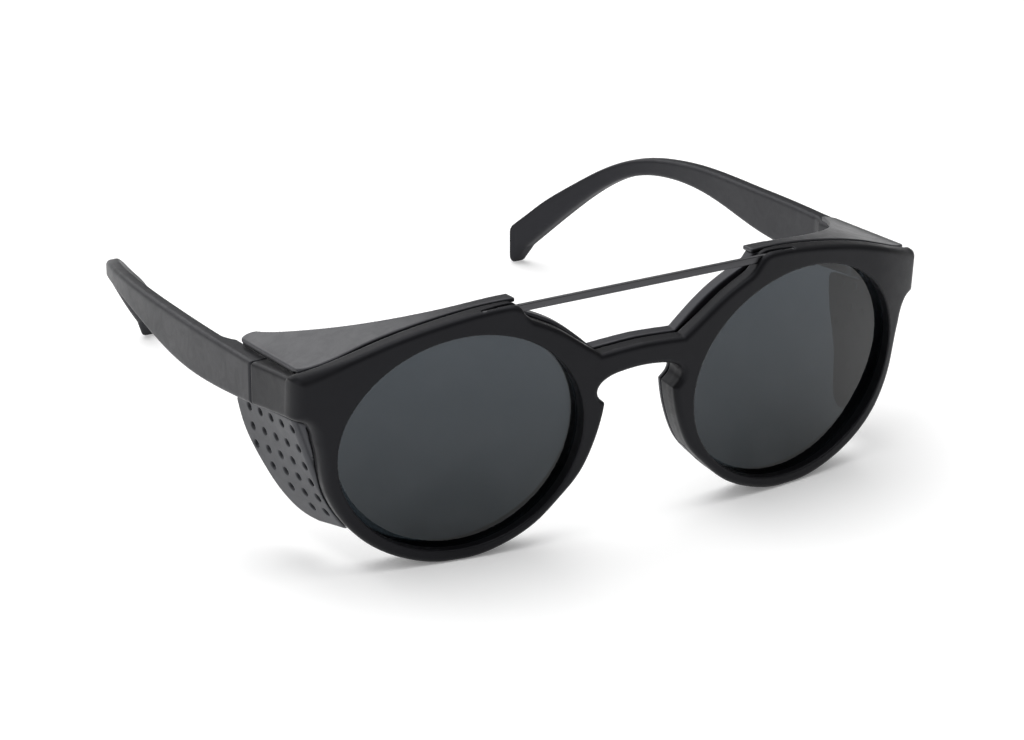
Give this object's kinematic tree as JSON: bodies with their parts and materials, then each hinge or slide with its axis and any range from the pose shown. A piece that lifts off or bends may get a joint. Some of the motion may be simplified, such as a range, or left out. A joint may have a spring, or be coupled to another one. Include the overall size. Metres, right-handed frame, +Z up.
{
  "type": "glacier glasses",
  "caption": "Round-lens glacier glasses with a straight brow bar, perforated side shields and top shields on a removable rear insert, and folding temples",
  "frame": {"origin": "under the middle of the bounding box, on the surface that the glasses stand on", "axes": "+Z up, the wearer looks along -Y, the wearer's right is -X; the temples run back along +Y"},
  "size_m": [0.1422, 0.1406, 0.0544],
  "materials": {
    "front_plastic": "fine satin moulding",
    "insert_plastic": "matte moulding",
    "shield_plastic": "satin moulding",
    "side_shield_plastic": "matte moulding",
    "temple_plastic": "fine satin moulding",
    "lens_smoke": "polished dark smoke tint",
    "bar_metal": "satin dark coat",
    "hinge_steel": "bare steel",
    "screw_steel": "bare steel",
    "core_steel": "bare steel"
  },
  "bodies": {
    "front": {"front_frame": "front_plastic", "lens_left": "lens_smoke", "lens_right": "lens_smoke", "brow_bar": "bar_metal", "brow_bar_pins": "hinge_steel", "front_leaf_screws": "screw_steel", "hinge_front_leaf_left": "hinge_steel", "hinge_front_leaf_right": "hinge_steel", "hinge_screw_left": "screw_steel", "hinge_screw_right": "screw_steel"},
    "left_temple": {"temple_left": "temple_plastic", "temple_core_left": "core_steel", "hinge_temple_leaf_left": "hinge_steel", "temple_leaf_screws_left": "screw_steel"},
    "right_temple": {"temple_right": "temple_plastic", "temple_core_right": "core_steel", "hinge_temple_leaf_right": "hinge_steel", "temple_leaf_screws_right": "screw_steel"},
    "shields": {"shield_insert": "insert_plastic", "top_shield_left": "shield_plastic", "top_shield_right": "shield_plastic", "side_shield_left": "side_shield_plastic", "side_shield_right": "side_shield_plastic"}
  },
  "joints": [
    {"name": "left_temple_fold", "type": "hinge", "parent": "front", "child": "left_temple", "pos_m": [0.0659, -0.0414, 0.0358], "axis": [0, 0, 1], "range_deg": [0, 80]},
    {"name": "right_temple_fold", "type": "hinge", "parent": "front", "child": "right_temple", "pos_m": [-0.0659, -0.0414, 0.0358], "axis": [0, 0, -1], "range_deg": [0, 74]},
    {"name": "insert_pull", "type": "slide", "parent": "front", "child": "shields", "axis": [0, 0.9929, -0.1192], "range_m": [0, 0.004]}
  ]
}
